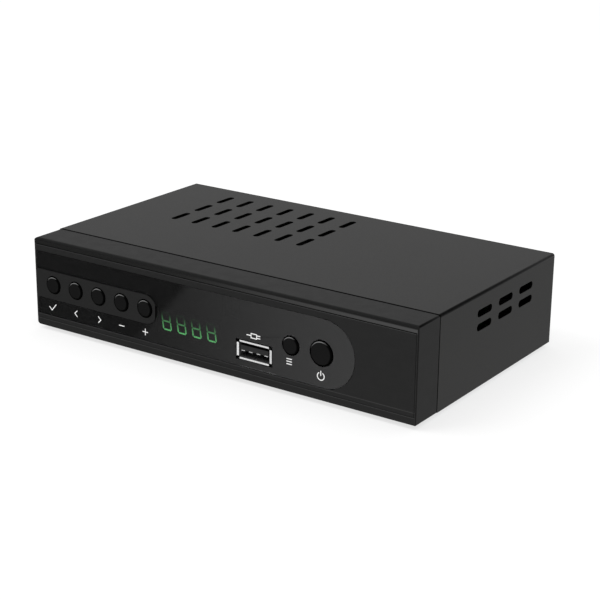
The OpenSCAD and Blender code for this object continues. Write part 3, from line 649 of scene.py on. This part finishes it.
def add_piece(name, build, material, replaced=()):
    """Turns a bmesh into a piece that rides on the case and takes the given finish."""
    mesh = bpy.data.meshes.new(name)
    bmesh.ops.recalc_face_normals(build, faces=build.faces)
    build.to_mesh(mesh)
    build.free()
    piece = bpy.data.objects.new(name, mesh)
    scene.collection.objects.link(piece)
    mesh.materials.append(material)
    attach(piece, "case")
    for node in replaced:
        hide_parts(node)
    return piece


def legend(name, x, z, shapes):
    """Prints closed shapes, given as x and z offsets in millimetres, on the window's face."""
    build = bmesh.new()
    face_y = (WINDOW_LOW.y - FASCIA_LOW.y) / MM
    for level, outline in enumerate(shapes):
        front_y = face_y - INK_THICKNESS - INK_STEP * level
        rings = []
        for y in (front_y, face_y):
            rings.append([build.verts.new(at(x + dx, y, z + dz)) for dx, dz in outline])
        build.faces.new(rings[0])
        build.faces.new(reversed(rings[1]))
        for i in range(len(outline)):
            j = (i + 1) % len(outline)
            build.faces.new((rings[0][j], rings[0][i], rings[1][i], rings[1][j]))
    add_piece(name, build, INK)


def key_place(name):
    """The x and z of a key's middle, in millimetres."""
    middle = centre_of(name + "_key")
    return middle.x, middle.z


def make_legends():
    """Signs of the keys and the USB socket, each so far under or over a middle and aside of it."""
    row_drop, menu_drop, power_drop, usb_rise = 9.1, 5.95, 8.3, 6.15
    for name, aside, shapes in (
        ("ok", -0.95, stroke([(-1.6, 0.1), (-0.4, -1.1), (1.8, 1.4)])),
        ("left", -0.3, stroke([(0.6, 1.15), (-0.6, 0), (0.6, -1.15)])),
        ("right", 0.3, stroke([(-0.6, 1.15), (0.6, 0), (-0.6, -1.15)])),
        ("minus", -0.1, stroke([(-1.15, 0), (1.15, 0)])),
        ("plus", 0, stroke([(-1.15, 0), (1.15, 0)]) + stroke([(0, -1.15), (0, 1.15)])),
    ):
        x, z = key_place(name)
        legend(name + "_legend", x + aside, z - row_drop, shapes)
    x, z = key_place("menu")
    bars = [s for h in (-0.95, 0, 0.95) for s in stroke([(-1.0, h), (1.0, h)])]
    legend("menu_legend", x - 0.6, z - menu_drop, bars)
    x, z = key_place("power")
    standby = stroke(arc(1.4, 125, 415), THICK_STROKE) + stroke([(0, 0.3), (0, 1.85)], THICK_STROKE)
    legend("power_legend", x - 0.1, z - power_drop, standby)
    socket = centre_of("usb_shell")
    lines = [[(-3.0, 0), (-1.2, 0)], [(1.2, 0.45), (2.6, 0.45)], [(1.2, -0.45), (2.6, -0.45)]]
    plug_body = [(-1.2, -0.8), (-1.2, 0.8), (1.2, 0.8), (1.2, -0.8)]
    lead, upper_pin, lower_pin = (stroke(line, THICK_STROKE) for line in lines)
    sign = lead + stroke(plug_body, THICK_STROKE, closed=True) + upper_pin + lower_pin
    legend("usb_legend", socket.x, socket.z + usb_rise, sign)


# ---------------------------------------------------------------- front USB socket

MOUTH_HALF_X, MOUTH_HALF_Z = 6.6, 2.9            # outer half sizes of the socket's steel tube
TUBE_WALL = 0.3
TUBE_FRONT = 0.95
SHEET = 0.26                                     # thickness of the lips' spring steel
# Inner side of a lip: depth behind the fascia's front, and how far it has flared from the tube
FLARE = ((1.05, 0.02), (0.55, 0.04), (0.3, 0.12), (0.2, 0.28), (0.18, 0.5), (0.17, 0.9))


def skin(build, rings, closed_ends=(False, False)):
    """Joins equal rings of corners in turn, and caps the first and last where asked."""
    made = [[build.verts.new(corner) for corner in ring] for ring in rings]
    for first, second in zip(made, made[1:]):
        for i in range(len(first)):
            j = (i + 1) % len(first)
            build.faces.new((first[i], first[j], second[j], second[i]))
    for ring, closed in ((made[0], closed_ends[0]), (made[-1], closed_ends[1])):
        if closed:
            build.faces.new(ring)


def rounded_outline(half_x, half_z, r, steps=4):
    """Corners of a rectangle with round corners about 0, 0, as x, z."""
    corners = []
    for index, (sx, sz) in enumerate(((1, 1), (-1, 1), (-1, -1), (1, -1))):
        for step in range(steps + 1):
            a = math.radians(90 * (index + step / steps))
            corners.append((sx * (half_x - r) + r * math.cos(a), sz * (half_z - r) + r * math.sin(a)))
    return corners


def flared_lip(build, profile, half_length, place):
    """One lip of bent sheet. profile lists its inner side as depth and distance from the axis."""
    outer = []
    for i, (depth, reach) in enumerate(profile):
        before, after = profile[max(i - 1, 0)], profile[min(i + 1, len(profile) - 1)]
        along = Vector((after[0] - before[0], after[1] - before[1])).normalized()
        outer.append((depth + along.y * SHEET, reach - along.x * SHEET))
    ends = []
    for end in (-half_length, half_length):
        ends.append([place(end, depth, reach) for depth, reach in profile + outer[::-1]])
    skin(build, ends)
    last = 2 * len(profile) - 1
    for ring, turn in ((ends[0], 1), (ends[1], -1)):
        for i in range(len(profile) - 1):
            quad = (ring[i], ring[i + 1], ring[last - 1 - i], ring[last - i])
            build.faces.new([build.verts.new(corner) for corner in quad[::turn]])


def make_usb_shell():
    """Pressed steel mouth with four flared lips, in place of the plain CAD shell."""
    middle = centre_of("usb_shell")
    rear = (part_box("usb_shell")[1].y - FASCIA_LOW.y) / MM
    inner_x, inner_z = MOUTH_HALF_X - TUBE_WALL, MOUTH_HALF_Z - TUBE_WALL
    outer = rounded_outline(MOUTH_HALF_X, MOUTH_HALF_Z, 0.6)
    inner = rounded_outline(inner_x, inner_z, 0.35)
    rings = []
    for outline, y in ((inner, rear - TUBE_WALL), (inner, TUBE_FRONT),
                       (outer, TUBE_FRONT), (outer, rear)):
        rings.append([at(middle.x + x, y, middle.z + z) for x, z in outline])
    build = bmesh.new()
    skin(build, rings, (True, True))
    for half, widening, half_length, spots in (
        (inner_z, 1.0, 6.3, (
            lambda s, d, r: at(middle.x + s, d, middle.z + r),
            lambda s, d, r: at(middle.x + s, d, middle.z - r))),
        (inner_x, 1.35, 2.5, (
            lambda s, d, r: at(middle.x + r, d, middle.z + s),
            lambda s, d, r: at(middle.x - r, d, middle.z + s))),
    ):
        profile = [(depth, half + reach * widening) for depth, reach in FLARE]
        for place in spots:
            flared_lip(build, profile, half_length, place)
    bmesh.ops.remove_doubles(build, verts=build.verts, dist=0.004 * MM)
    round_edges(add_piece("usb_mouth", build, RIM, ["usb_shell"]), 0.05, 50)


make_legends()
make_usb_shell()
